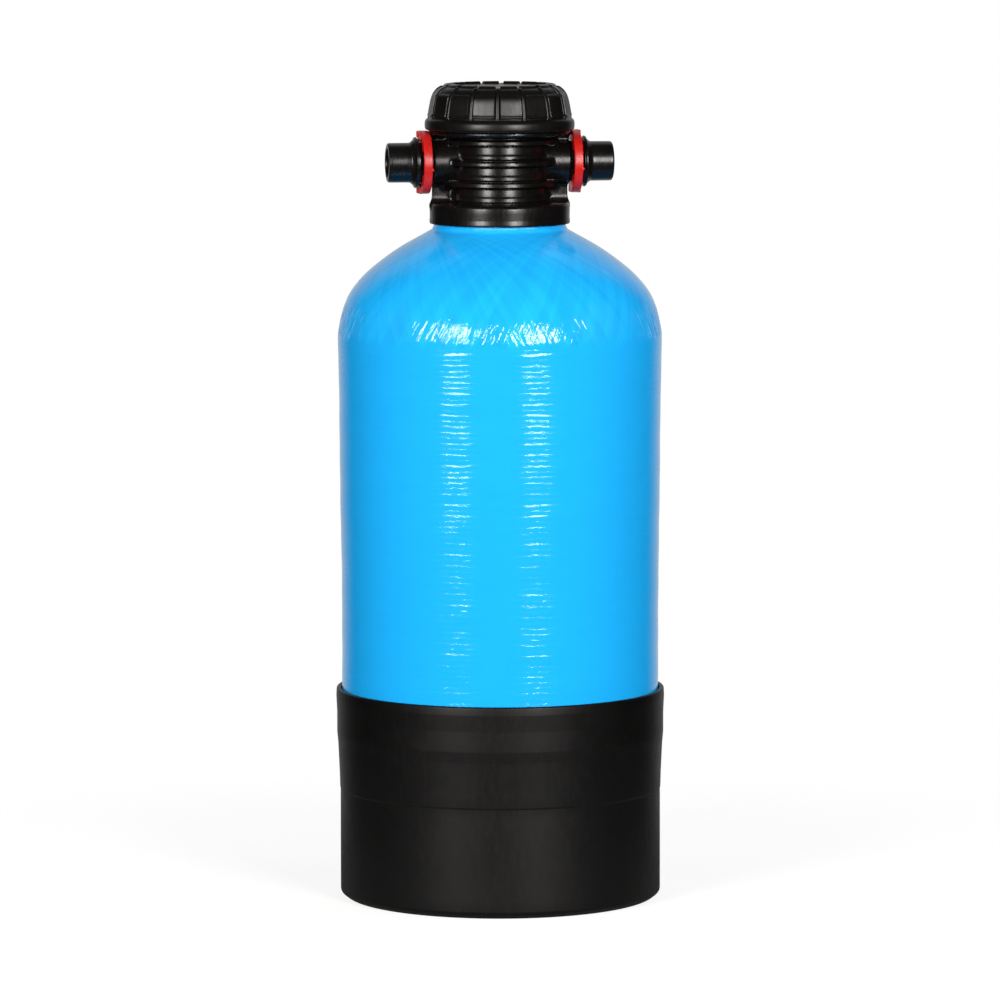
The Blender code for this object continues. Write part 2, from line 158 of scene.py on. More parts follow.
# ================================================================ signed distances
def poly_sdf(poly, px, py):
    """Signed distance in the plane to a closed polygon, negative inside."""
    shape = px.shape
    px, py = px.ravel(), py.ravel()
    best = np.full(px.size, 1e9)
    inside = np.zeros(px.size, bool)
    a = poly
    b = np.roll(poly, -1, axis=0)
    for (ax, ay), (bx, by) in zip(a, b):
        ex, ey = bx - ax, by - ay
        wx, wy = px - ax, py - ay
        t = np.clip((wx * ex + wy * ey) / (ex * ex + ey * ey), 0, 1)
        dx, dy = wx - ex * t, wy - ey * t
        np.minimum(best, dx * dx + dy * dy, out=best)
        cross = (ay > py) != (by > py)
        if by != ay:
            inside ^= cross & (px < ex * (py - ay) / ey + ax)
    d = np.sqrt(best)
    return np.where(inside, -d, d).reshape(shape)


class Outline:
    """A polygon's distance field, from a fine table or exact."""

    def __init__(self, poly, pad=14.0, step=0.2):
        self.poly = np.asarray(poly)
        self.lo = self.poly.min(0) - pad
        self.step = step
        n = np.ceil((self.poly.max(0) + pad - self.lo) / step).astype(int) + 2
        gx = self.lo[0] + step * np.arange(n[0])
        gy = self.lo[1] + step * np.arange(n[1])
        self.table = poly_sdf(self.poly, *np.meshgrid(gx, gy, indexing="ij"))
        self.exact = False

    def __call__(self, px, py):
        if self.exact:
            return poly_sdf(self.poly, px, py)
        fx = np.clip((px - self.lo[0]) / self.step, 0, self.table.shape[0] - 1.001)
        fy = np.clip((py - self.lo[1]) / self.step, 0, self.table.shape[1] - 1.001)
        ix, iy = fx.astype(int), fy.astype(int)
        tx, ty = fx - ix, fy - iy
        t = self.table
        return ((t[ix, iy] * (1 - tx) + t[ix + 1, iy] * tx) * (1 - ty)
                + (t[ix, iy + 1] * (1 - tx) + t[ix + 1, iy + 1] * tx) * ty)


def blend_union(a, b, k):
    h = np.maximum(k - np.abs(a - b), 0.0) / k
    return np.minimum(a, b) - h * h * k * 0.25


def blend_cut(a, b, k):
    """a without b."""
    h = np.maximum(k - np.abs(a + b), 0.0) / k
    return np.maximum(a, -b) + h * h * k * 0.25


def round_box(x, y, z, cx, cy, cz, hx, hy, hz, r):
    qx, qy, qz = np.abs(x - cx) - hx + r, np.abs(y - cy) - hy + r, np.abs(z - cz) - hz + r
    out = np.sqrt(np.maximum(qx, 0) ** 2 + np.maximum(qy, 0) ** 2 + np.maximum(qz, 0) ** 2)
    return out + np.minimum(np.maximum(qx, np.maximum(qy, qz)), 0) - r


def surface(f, lo, hi, h, tables=()):
    """Surface nets of f < 0 on a grid, then pulled onto f = 0. Returns verts, faces, normals."""
    lo = np.asarray(lo, float)
    n = np.ceil((np.asarray(hi, float) - lo) / h).astype(int) + 1
    ax = [lo[k] + h * np.arange(n[k]) for k in range(3)]
    d = f(*np.meshgrid(*ax, indexing="ij"))
    s = d < 0
    corner = [(i, j, k) for i in (0, 1) for j in (0, 1) for k in (0, 1)]

    def part(a, c):
        return a[c[0]:n[0] - 1 + c[0], c[1]:n[1] - 1 + c[1], c[2]:n[2] - 1 + c[2]]

    count = sum(part(s, c).astype(np.int8) for c in corner)
    mixed = (count > 0) & (count < 8)
    cells = np.argwhere(mixed)
    index = np.full(mixed.shape, -1, np.int64)
    index[mixed] = np.arange(len(cells))
    acc = np.zeros((len(cells), 3))
    num = np.zeros(len(cells))
    vals = {c: part(d, c)[mixed] for c in corner}
    for c in corner:
        for axis in range(3):
            if c[axis] == 0:
                e = tuple(1 if q == axis else c[q] for q in range(3))
                da, db = vals[c], vals[e]
                hit = (da < 0) != (db < 0)
                t = np.where(hit, da / np.where(hit, da - db, 1.0), 0.0)
                p = np.tile(np.array(c, float), (len(cells), 1))
                p[:, axis] += t
                acc += np.where(hit[:, None], p, 0.0)
                num += hit
    verts = lo + h * (cells + acc / num[:, None])
    quads = []
    for axis in range(3):
        u, v = [q for q in range(3) if q != axis]
        a = [slice(None)] * 3
        b = [slice(None)] * 3
        a[axis], b[axis] = slice(0, n[axis] - 1), slice(1, n[axis])
        sa, sb = s[tuple(a)], s[tuple(b)]
        edge = sa != sb
        edge_idx = np.argwhere(edge)
        ok = (edge_idx[:, u] > 0) & (edge_idx[:, v] > 0) \
            & (edge_idx[:, u] < n[u] - 1) & (edge_idx[:, v] < n[v] - 1)
        e = edge_idx[ok]
        flip = sa[tuple(e.T)]
        du, dv = np.zeros(3, int), np.zeros(3, int)
        du[u], dv[v] = 1, 1
        c00, c10 = index[tuple((e - du - dv).T)], index[tuple((e - dv).T)]
        c11, c01 = index[tuple(e.T)], index[tuple((e - du).T)]
        q = np.stack([c00, c10, c11, c01], 1)
        if axis == 1:
            flip = ~flip
        q[~flip] = q[~flip][:, ::-1]
        quads.append(q)
    quads = np.concatenate(quads)
    for t in tables:
        t.exact = True

    def gradient(p, e):
        g = np.zeros_like(p)
        for k in range(3):
            a, b = p.copy(), p.copy()
            a[:, k] += e
            b[:, k] -= e
            g[:, k] = (f(*a.T) - f(*b.T)) / (2 * e)
        return g

    for _ in range(3):
        g = gradient(verts, 0.05)
        step = f(*verts.T)[:, None] * g / np.maximum((g * g).sum(1), 0.25)[:, None]
        length = np.linalg.norm(step, axis=1)
        verts = verts - step * np.minimum(1.0, 0.5 * h / np.maximum(length, 1e-9))[:, None]
    g = gradient(verts, 0.12 * h)
    for t in tables:
        t.exact = False
    return verts, [tuple(q) for q in quads.tolist()], g / np.maximum(np.linalg.norm(g, axis=1), 1e-9)[:, None]


def smooth01(a, b, x):
    t = np.clip((x - a) / (b - a), 0, 1)
    return t * t * (3 - 2 * t)


# ================================================================ materials
class Nodes:
    """Short hands for a material's node tree."""

    def __init__(self, name):
        self.mat = bpy.data.materials.new(name)
        self.mat.use_nodes = True
        self.tree = self.mat.node_tree
        self.bsdf = self.tree.nodes["Principled BSDF"]

    def set(self, **kw):
        for key, value in kw.items():
            self.bsdf.inputs[key.replace("_", " ")].default_value = value
        return self

    def node(self, kind, **kw):
        n = self.tree.nodes.new(kind)
        for k, v in kw.items():
            setattr(n, k, v)
        return n

    def link(self, a, b):
        self.tree.links.new(a, b)

    def feed(self, socket, value):
        if isinstance(value, bpy.types.NodeSocket):
            self.link(value, socket)
        elif value is not None:
            socket.default_value = value

    def math(self, op, a, b=None, c=None, clamp=False):
        n = self.node("ShaderNodeMath", operation=op, use_clamp=clamp)
        for s, v in zip(n.inputs, (a, b, c)):
            self.feed(s, v)
        return n.outputs[0]

    def coords(self, scale=(1, 1, 1)):
        t = self.node("ShaderNodeTexCoord")
        m = self.node("ShaderNodeMapping")
        m.inputs["Scale"].default_value = scale
        self.link(t.outputs["Object"], m.inputs["Vector"])
        return m.outputs[0]

    def attribute(self, name, scale=(1, 1, 1)):
        t = self.node("ShaderNodeAttribute", attribute_name=name)
        m = self.node("ShaderNodeMapping")
        m.inputs["Scale"].default_value = scale
        self.link(t.outputs["Vector"], m.inputs["Vector"])
        return m.outputs[0]

    def noise(self, vector, scale, detail=2.0, rough=0.5, distortion=0.0):
        n = self.node("ShaderNodeTexNoise")
        self.feed(n.inputs["Vector"], vector)
        n.inputs["Scale"].default_value = scale
        n.inputs["Detail"].default_value = detail
        n.inputs["Roughness"].default_value = rough
        n.inputs["Distortion"].default_value = distortion
        return n.outputs["Fac"]

    def ramp(self, value, lo, hi, a=0.0, b=1.0):
        n = self.node("ShaderNodeMapRange", interpolation_type="SMOOTHSTEP")
        self.feed(n.inputs["Value"], value)
        for k, v in zip(("From Min", "From Max", "To Min", "To Max"), (lo, hi, a, b)):
            n.inputs[k].default_value = v
        return n.outputs["Result"]

    def mix(self, fac, a, b):
        n = self.node("ShaderNodeMix", data_type="RGBA")
        self.feed(n.inputs[0], fac)
        for s, v in ((n.inputs[6], a), (n.inputs[7], b)):
            self.feed(s, (*v, 1.0) if isinstance(v, tuple) and len(v) == 3 else v)
        return n.outputs[2]

    def bump(self, height, distance=0.001, strength=1.0, normal=None):
        n = self.node("ShaderNodeBump")
        self.feed(n.inputs["Height"], height)
        n.inputs["Distance"].default_value = distance
        n.inputs["Strength"].default_value = strength
        if normal is not None:
            self.link(normal, n.inputs["Normal"])
        return n.outputs[0]


def black_moulding(name, tone, rough, grain=0.012, grain_scale=1500, mottling=1.5, gloss=0.5):
    """Injection-moulded black plastic: fine grain, faint mottling and handling marks."""
    m = Nodes(name)
    co = m.coords()
    mottle = m.noise(co, 55, 4, 0.6)
    m.link(m.mix(m.ramp(mottle, 0.35, 0.7), tone, tuple(c * mottling for c in tone)),
           m.bsdf.inputs["Base Color"])
    marks = m.noise(m.coords((1, 1, 0.25)), 420, 3, 0.7)
    m.link(m.math("ADD", m.ramp(marks, 0.4, 0.72, rough - 0.02, rough + 0.05),
                  m.ramp(mottle, 0.3, 0.7, -0.01, 0.015)), m.bsdf.inputs["Roughness"])
    grains = m.noise(co, grain_scale, 2, 0.55)
    wave = m.noise(co, 90, 2, 0.5)
    height = m.math("ADD", m.math("MULTIPLY", grains, grain), m.math("MULTIPLY", wave, 0.022))
    m.link(m.bump(height), m.bsdf.inputs["Normal"])
    m.set(IOR=1.5, Specular_IOR_Level=gloss)
    return m.mat


def wound_blue():
    """Sky-blue glass-fibre winding under clear resin: hoops on the wall, crossing helices on the dome."""
    m = Nodes("wound_blue")
    co = m.coords()
    zone = m.attribute("zone")                         # x: 0 wall, 1 dome; y: height in mm
    split = m.node("ShaderNodeSeparateXYZ")
    m.link(zone, split.inputs[0])
    dome = split.outputs["X"]
    wall = m.math("SUBTRACT", 1.0, dome)
    # hoops: bands about 3.5 mm apart that drift a little up and down round the wall
    drift = m.noise(m.coords((1, 1, 0.5)), 16, 2, 0.5)
    jog = m.noise(m.coords((1, 1, 2.0)), 60, 2, 0.5)
    z = m.math("ADD", split.outputs["Y"], m.math("ADD", m.math("MULTIPLY", drift, 7.0),
                                                 m.math("MULTIPLY", jog, 1.5)))
    wave = m.math("SINE", m.math("MULTIPLY", z, TAU / 3.5))
    wave2 = m.math("SINE", m.math("MULTIPLY", z, TAU / 6.3))
    fine = m.noise(m.coords((0.03, 0.03, 1.0)), 1500, 2, 0.55)
    blotch = m.noise(m.coords((1, 1, 2.2)), 60, 3, 0.6)
    lump = m.noise(m.coords((1, 1, 1.8)), 170, 2, 0.5)
    nubs = m.noise(m.coords((0.5, 0.5, 1.6)), 520, 1, 0.5)
    hoop = m.math("MULTIPLY", m.math("ADD", wave, m.math("MULTIPLY", wave2, 0.5)),
                  m.ramp(blotch, 0.36, 0.64, 0.034, 0.046))
    hoop = m.math("ADD", hoop, m.math("MULTIPLY", fine, 0.05))
    hoop = m.math("ADD", hoop, m.math("MULTIPLY", lump, 0.075))
    hoop = m.math("ADD", hoop, m.math("MULTIPLY", nubs, 0.045))
    # helices: two families of fibres tangent to the neck
    fam = []
    for key in ("fibre_a", "fibre_b"):
        broad = m.noise(m.attribute(key, (1, 1, 0.06)), 13, 2, 0.55)
        mid = m.noise(m.attribute(key, (1, 1, 0.05)), 42, 2, 0.55)
        thin = m.noise(m.attribute(key, (1, 1, 0.16)), 105, 1, 0.5)
        tow = m.noise(m.attribute(key, (1, 1, 0.22)), 38, 1, 0.5)
        fam.append((m.math("ADD", m.math("MULTIPLY", mid, 0.12), m.math("MULTIPLY", thin, 0.03)),
                    m.math("ADD", m.math("MULTIPLY", broad, 0.82), m.math("MULTIPLY", mid, 0.18)), tow))
    # which family lies on top changes in wide patches round the shoulder
    place = m.node("ShaderNodeSeparateXYZ")
    m.link(co, place.inputs[0])
    cover = m.ramp(m.math("SUBTRACT", m.noise(m.coords((1, 1, 0.7)), 26, 2, 0.5),
                          m.math("MULTIPLY", place.outputs["X"], 1.6)), 0.44, 0.56)
    # at the shoulder the tows bridge over the hoops' edge and stand out most
    edge = m.math("MULTIPLY", m.ramp(split.outputs["Y"], 361.0, 367.0), m.ramp(split.outputs["Y"], 377.0, 388.0, 1.0, 0.0))
    under = m.math("SUBTRACT", 1.0, cover)
    helix = m.math("ADD", m.math("MULTIPLY", fam[0][0], cover), m.math("MULTIPLY", fam[1][0], under))
    helix = m.math("ADD", helix, m.math("MULTIPLY", lump, 0.05))
    helix = m.math("ADD", helix, m.math("MULTIPLY", nubs, 0.02))
    height = m.math("ADD", m.math("MULTIPLY", hoop, wall), m.math("MULTIPLY", helix, dome))
    tows = m.math("ADD", m.math("MULTIPLY", fam[0][2], cover), m.math("MULTIPLY", fam[1][2], under))
    ripple = m.math("MULTIPLY", m.math("ADD", m.math("MULTIPLY", tows, 1.00), m.math("MULTIPLY", nubs, 0.07)), edge)
    m.link(m.bump(m.math("ADD", height, ripple)), m.bsdf.inputs["Coat Normal"])
    m.link(m.bump(m.math("ADD", height, m.math("MULTIPLY", ripple, 0.10)), strength=0.08), m.bsdf.inputs["Normal"])
    # colour: the pigment is a little uneven along the fibres
    tint_h = m.math("ADD", m.ramp(fine, 0.35, 0.65, -0.06, 0.06), m.ramp(blotch, 0.3, 0.7, -0.05, 0.05))
    tint_d = m.math("ADD", m.ramp(fam[0][1], 0.40, 0.60, -0.26, 0.26),
                    m.ramp(fam[1][1], 0.40, 0.60, -0.26, 0.26))
    tint = m.math("ADD", m.math("MULTIPLY", tint_h, wall), m.math("MULTIPLY", tint_d, dome))
    colour = m.mix(m.math("ADD", 0.5, tint, clamp=True), (0.0105, 0.376, 0.88), (0.0135, 0.462, 0.985))
    m.link(colour, m.bsdf.inputs["Base Color"])
    m.set(Roughness=0.6, Specular_IOR_Level=0.0, Coat_Weight=1.0, Coat_Roughness=0.110, Coat_IOR=1.5)
    return m.mat


def red_plastic():
    m = Nodes("red_acetal")
    co = m.coords()
    tone = m.noise(co, 160, 3, 0.6)
    m.link(m.mix(m.ramp(tone, 0.3, 0.7), (0.45, 0.0090, 0.0078), (0.52, 0.0125, 0.0105)),
           m.bsdf.inputs["Base Color"])
    m.link(m.ramp(m.noise(co, 700, 2, 0.6), 0.35, 0.7, 0.26, 0.40), m.bsdf.inputs["Roughness"])
    m.link(m.bump(m.math("MULTIPLY", m.noise(co, 900, 2, 0.5), 0.03)), m.bsdf.inputs["Normal"])
    m.set(Subsurface_Weight=0.12, Subsurface_Radius=(0.002, 0.0004, 0.0003), IOR=1.48)
    return m.mat


def soft_rubber():
    m = Nodes("nitrile_seal")
    co = m.coords()
    m.link(m.mix(m.noise(co, 500, 2), (0.008, 0.008, 0.008), (0.020, 0.019, 0.018)),
           m.bsdf.inputs["Base Color"])
    m.link(m.ramp(m.noise(co, 900, 2), 0.3, 0.7, 0.45, 0.65), m.bsdf.inputs["Roughness"])
    m.link(m.bump(m.math("MULTIPLY", m.noise(co, 2500, 2), 0.01)), m.bsdf.inputs["Normal"])
    return m.mat


def milky(name, a, b, rough):
    """Unpigmented or white plastic."""
    m = Nodes(name)
    co = m.coords()
    m.link(m.mix(m.ramp(m.noise(co, 60, 3), 0.3, 0.7), a, b), m.bsdf.inputs["Base Color"])
    m.link(m.ramp(m.noise(co, 500, 2), 0.3, 0.7, rough - 0.05, rough + 0.08), m.bsdf.inputs["Roughness"])
    m.link(m.bump(m.math("MULTIPLY", m.noise(co, 1200, 2), 0.015)), m.bsdf.inputs["Normal"])
    return m.mat


def beads():
    """Mixed resin: half-millimetre amber and dark beads."""
    m = Nodes("resin_beads")
    co = m.coords()
    v = m.node("ShaderNodeTexVoronoi")
    m.link(co, v.inputs["Vector"])
    v.inputs["Scale"].default_value = 1500
    sep = m.node("ShaderNodeSeparateColor")
    m.link(v.outputs["Color"], sep.inputs[0])
    m.link(m.mix(m.ramp(sep.outputs[0], 0.3, 0.6), (0.50, 0.24, 0.05), (0.13, 0.045, 0.012)),
           m.bsdf.inputs["Base Color"])
    m.link(m.bump(m.math("MULTIPLY", v.outputs["Distance"], -0.4)), m.bsdf.inputs["Normal"])
    m.link(m.ramp(sep.outputs[1], 0.0, 1.0, 0.25, 0.5), m.bsdf.inputs["Roughness"])
    return m.mat


BLUE = wound_blue()
HEAD = black_moulding("head_black", (0.0030, 0.0027, 0.0025), 0.265, 0.004, 1900, gloss=0.36)
CAP = black_moulding("cap_black", (0.0034, 0.0030, 0.0028), 0.33, 0.007, 1600, gloss=0.34)
SPIGOT = black_moulding("spigot_black", (0.0032, 0.0029, 0.0028), 0.27, 0.005, 1800, gloss=0.38)
BOOT = black_moulding("boot_black", (0.0017, 0.0015, 0.0014), 0.44, 0.020, 1000, 1.15, gloss=0.28)
RED = red_plastic()
SEAL = soft_rubber()
LINER = milky("liner_polyethylene", (0.56, 0.57, 0.54), (0.66, 0.66, 0.62), 0.45)
WHITE = milky("white_internal", (0.66, 0.67, 0.65), (0.76, 0.77, 0.74), 0.38)
RESIN = beads()

# ================================================================ wound shell
# measured outline: radius at height, from the boot's rim to the neck
SHELL = np.array([
    (70, 101.9), (100, 101.9), (139, 101.9), (160, 101.9), (180, 101.9), (200, 101.95), (217, 102.1),
    (237, 102.4), (256, 102.7), (275, 102.9), (295, 103.05), (314, 103.2), (334, 103.5),
    (350, 103.85), (359, 104.0), (363, 103.9), (366, 103.66), (369, 103.15), (372, 102.6),
    (375.5, 101.9), (378.7, 101.05), (382, 100.0), (385, 98.8), (388.4, 97.2), (391.6, 95.3),
    (394.8, 93.0), (398, 90.4), (401.2, 87.5), (404.4, 84.2), (407.6, 80.4), (410.9, 76.2),
    (414, 72.0), (417.3, 67.3), (420.5, 62.3), (423.7, 56.8), (426.9, 51.0), (429.0, 47.2)])


def spline(z):
    """Catmull-Rom through the measured points."""
    zs, rs = SHELL[:, 0], SHELL[:, 1]
    slope = np.gradient(rs, zs)
    i = np.clip(np.searchsorted(zs, z) - 1, 0, len(zs) - 2)
    h = zs[i + 1] - zs[i]
    t = (z - zs[i]) / h
    return ((2 * t ** 3 - 3 * t ** 2 + 1) * rs[i] + (t ** 3 - 2 * t ** 2 + t) * h * slope[i]
            + (-2 * t ** 3 + 3 * t ** 2) * rs[i + 1] + (t ** 3 - t ** 2) * h * slope[i + 1])


def shell_outline():
    bottom = [(101.9 * math.sin(t), 98.0 - 84.0 * math.cos(t))
              for t in np.linspace(0, math.pi / 2, 18)][:-1]
    zz = np.concatenate([np.linspace(98.0, 136.0, 8)[:-1], np.arange(136.0, 350.0, 1.7),
                         np.linspace(350.0, 385.0, 34)[:-1], np.linspace(385.0, 429.0, 88)])
    wall = [(float(spline(z)), float(z)) for z in zz]
    neck = rounded([(47.2, 429.0), (43.6, 431.0, 3.0), (42.3, 433.6, 1.2), (42.3, 437.4, 0.6),
                    (40.4, 438.0)], arc_deg=12, step=0.7)[1:]
    outside = bottom + wall + [tuple(p) for p in neck]
    inside = [(40.15, 438.0), (40.15, 431.0), (57.0, 418.5), (78.0, 405.5), (93.0, 386.0),
              (98.5, 366.0), (98.75, 350.0), (98.75, 98.0)]
    inside += [(98.75 * math.sin(t), 98.0 - 80.0 * math.cos(t))
               for t in np.linspace(math.pi / 2, 0, 10)][1:]
    return outside, inside


outside, inside = shell_outline()
verts, faces = revolve(outside + inside, 264, closed=False)
n_out = sum(1 if r < 1e-6 else 264 for r, z in outside)
r = np.hypot(verts[:, 0], verts[:, 1])
theta = np.arctan2(verts[:, 1], verts[:, 0])
z = verts[:, 2]
# geodesic angle of the helices: sin(alpha) = neck radius / radius along the outline
line = np.array([p for p in outside if p[1] > 300])[::-1]
ds = np.hypot(np.diff(line[:, 0]), np.diff(line[:, 1]))
rm = (line[1:, 0] + line[:-1, 0]) / 2
sin_a = np.clip(42.3 / rm, 0, 0.9995)
phi = np.concatenate([[0], np.cumsum(sin_a / np.sqrt(1 - sin_a ** 2) * ds / rm)])
length = np.concatenate([[0], np.cumsum(ds)])
order = np.argsort(line[:, 1])
turn = np.interp(z, line[order, 1], phi[order])
run = np.interp(z, line[order, 1], length[order])
fa = np.stack([np.cos(theta + turn), np.sin(theta + turn), run * 0.01], 1)
fb = np.stack([np.cos(theta - turn), np.sin(theta - turn), run * 0.01 + 5.0], 1)
zone = np.stack([smooth01(360.5, 366.5, z), z, np.zeros(len(z))], 1)
# broad unevenness of the layers, a few hundredths of a millimetre, none at the neck's fit
k = smooth01(429, 415, z) * smooth01(120, 140, z)
lumps = (0.05 * np.sin(3 * theta + z * 0.041) + 0.045 * np.sin(7 * theta - z * 0.11 + 1.0)
         + 0.06 * np.sin(z * 0.23 + 1.5 * np.sin(2 * theta)))
verts[:n_out, 0] += (np.cos(theta) * lumps * k)[:n_out]
verts[:n_out, 1] += (np.sin(theta) * lumps * k)[:n_out]
shell = add_mesh("shell_winding", verts, faces, BLUE, "vessel",
                 attrs={"fibre_a": fa, "fibre_b": fb, "zone": zone}, sharp=50)
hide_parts("wound_shell")

# ================================================================ boot
boot = rounded([
    (10.0, 2.0, 0.6), (85.5, 2.0, 1.0), (87.5, 0.0, 1.2), (98.6, 0.0, 4.0), (103.2, 3.4, 3.5),
    (103.2, 38.0), (103.15, 70.2, 0.4), (103.45, 71.2, 0.4), (103.7, 80.6, 20), (104.6, 100.0, 20),
    (105.25, 107.0, 10), (105.25, 120.0, 8), (105.75, 130.5, 3), (105.5, 135.9, 1.2),
    (102.5, 135.9, 0.9), (102.4, 98.0, 8), (100.2, 72.0, 6), (99.9, 9.0, 5), (94.0, 4.6, 3),
    (57.0, 4.6, 1.5), (57.0, 28.0), (52.0, 25.5), (52.0, 4.6, 1.5), (10.0, 4.6, 0.6)],
    closed=True, arc_deg=9, step=6.0)
ob = turned("boot", boot, 240, BOOT, "vessel", sharp=40)
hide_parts("base_boot")

# ================================================================ head
FINS = (460.6, 474.1, 487.5)


def band(z_top, z_bot):
    """The core's wall between two fins, from the upper one's underside down to the lower one's top."""
    hgt = z_top - z_bot
    return [(28.7, z_top, 0.5), (29.55, z_top - 0.09 * hgt, 1.2), (29.9, z_top - 0.36 * hgt, 5.0),
            (30.02, z_top - 0.56 * hgt, 1.5), (29.7, z_top - 0.645 * hgt, 0.5), (30.08, z_top - 0.86 * hgt, 0.5),
            (29.2, z_top - 0.93 * hgt, 0.5), (29.2, z_bot, 0.4)]


outline = [(24.2, 411.4, 0.5), (34.9, 411.4, 0.8), (34.9, 441.0), (42.8, 441.0, 0.3), (42.8, 434.9, 0.3),
           (45.0, 434.9, 0.7), (45.08, 436.4, 1.0), (44.82, 439.0, 1.5), (44.92, 443.6, 3.0), (44.85, 448.4, 4.6)]
levels = [448.3] + [zf for zf in FINS]
below = 448.3
for zf in FINS:
    outline += list(reversed(band(zf - 1.5, below)))
    outline += [(35.5, zf - 1.5, 0.5), (35.2, zf + 1.5, 0.6)]
    below = zf + 1.5
outline += [(30.7, below, 1.4), (30.5, 491.0, 0.9), (42.0, 491.4, 0.6), (45.3, 492.3, 0.7),
            (45.3, 494.55, 0.3), (40.4, 494.6, 0.6), (40.4, 508.3, 0.9), (37.1, 508.3, 0.6),
            (37.1, 496.8, 1.0), (26.5, 493.2, 1.0), (26.5, 413.4, 0.2), (24.2, 413.4, 0.4)]
HEAD_2D = Outline(rounded(outline, closed=True, arc_deg=15))
BOSS_2D = Outline(rounded([
    (0.0, 20.0), (13.9, 20.0), (13.9, 44.1, 0.5), (12.9, 44.1, 0.4), (12.9, 47.05, 0.4), (18.0, 47.05, 0.4),
    (18.0, 48.4, 0.4), (0.0, 48.4)], closed=True, arc_deg=18))


def head_field(x, y, z):
    rho = np.hypot(x, y)
    ax = np.abs(x)
    rp = np.hypot(y, z - Z_PORT)
    body = HEAD_2D(rho, z)
    boss = BOSS_2D(rp, ax)
    web = round_box(ax, y, z, 33.0, 0.0, 470.0, 10.8, 2.4 + 0.045 * (z - 470.0), 23.6, 0.7)
    f = blend_union(body, web, 5.0)
    f = blend_union(f, boss, 2.6)
    cut = np.maximum(rho - 26.5, z - 493.3)
    f = np.where(z > 413.5, blend_cut(f, cut, 0.5), f)
    port = np.minimum(np.maximum(rp - 11.0, 33.2 - ax), np.maximum(rp - 8.6, 15.0 - ax))
    lead = rp - (11.0 + np.maximum(ax - 47.5, 0.0))
    port = np.minimum(port, np.maximum(lead, 46.8 - ax))
    return blend_cut(f, port, 0.5)


hv, hf, hn = surface(head_field, (-52, -47, 409.5), (52, 47, 510.5), 0.86, (HEAD_2D, BOSS_2D))
head = add_mesh("head_moulding", hv, hf, HEAD, "vessel", normals=hn)
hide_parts("head_adapter", "head_body", "filler_neck")


def thread(name, r_root, r_crest, z0, z1, pitch, width, mat, body, phase=0.0, n=96):
    """A right-hand helical ridge that runs out at both ends."""
    turns = (z1 - z0) / pitch
    count = int(turns * n)
    sign = 1 if r_crest > r_root else -1
    section = [(-0.5, -0.25), (-0.34, 0.45), (-0.16, 1.0), (0.16, 1.0), (0.34, 0.45), (0.5, -0.25)]
    verts, faces = [], []
    for i in range(count + 1):
        a = phase + TAU * i / n
        zc = z0 + pitch * i / n
        fade = min(1.0, i / (0.12 * n), (count - i) / (0.12 * n))
        for s, hgt in section:
            rr = r_root + (r_crest - r_root) * (hgt * fade if hgt > 0 else hgt)
            verts.append((rr * math.cos(a), rr * math.sin(a), zc + s * width))
    m = len(section)
    for i in range(count):
        for j in range(m):
            a, b = i * m + j, i * m + (j + 1) % m
            q = (a, b, b + m, a + m)
            faces.append(q if sign > 0 else q[::-1])
    ends = tuple(range(m)), tuple(range(count * m + m - 1, count * m - 1, -1))
    faces += [e if sign > 0 else e[::-1] for e in ends]
    return add_mesh(name, verts, faces, mat, body, sharp=60)


ob = thread("filler_neck_thread", 40.4, 41.9, 497.6, 506.4, 6.0, 2.6, HEAD, "vessel")
ob = thread("head_tube_thread", 34.2, 35.15, 414.0, 434.0, 3.175, 2.2, HEAD, "vessel")

# ================================================================ filler cap
RIBS = 16
PHASE = math.radians(259.7)
PITCH_MM = TAU * 44.0 / RIBS


def cap_columns():
    half = PITCH_MM / 2
    u = [0.0, 0.25, 0.5, 0.72, 0.9, 1.1, 1.27, 1.38, 1.45, 1.65, 1.85, 2.05, 2.3, 2.8, 3.6, 4.8, 6.2, 7.4, half]
    u = sorted(set([-x for x in u[1:-1]] + u))
    cols = []
    for k in range(RIBS):
        for x in u:
            cols.append((PHASE + TAU * k / RIBS + x / 44.0, abs(x)))
    return cols


CAP_COLS = cap_columns()
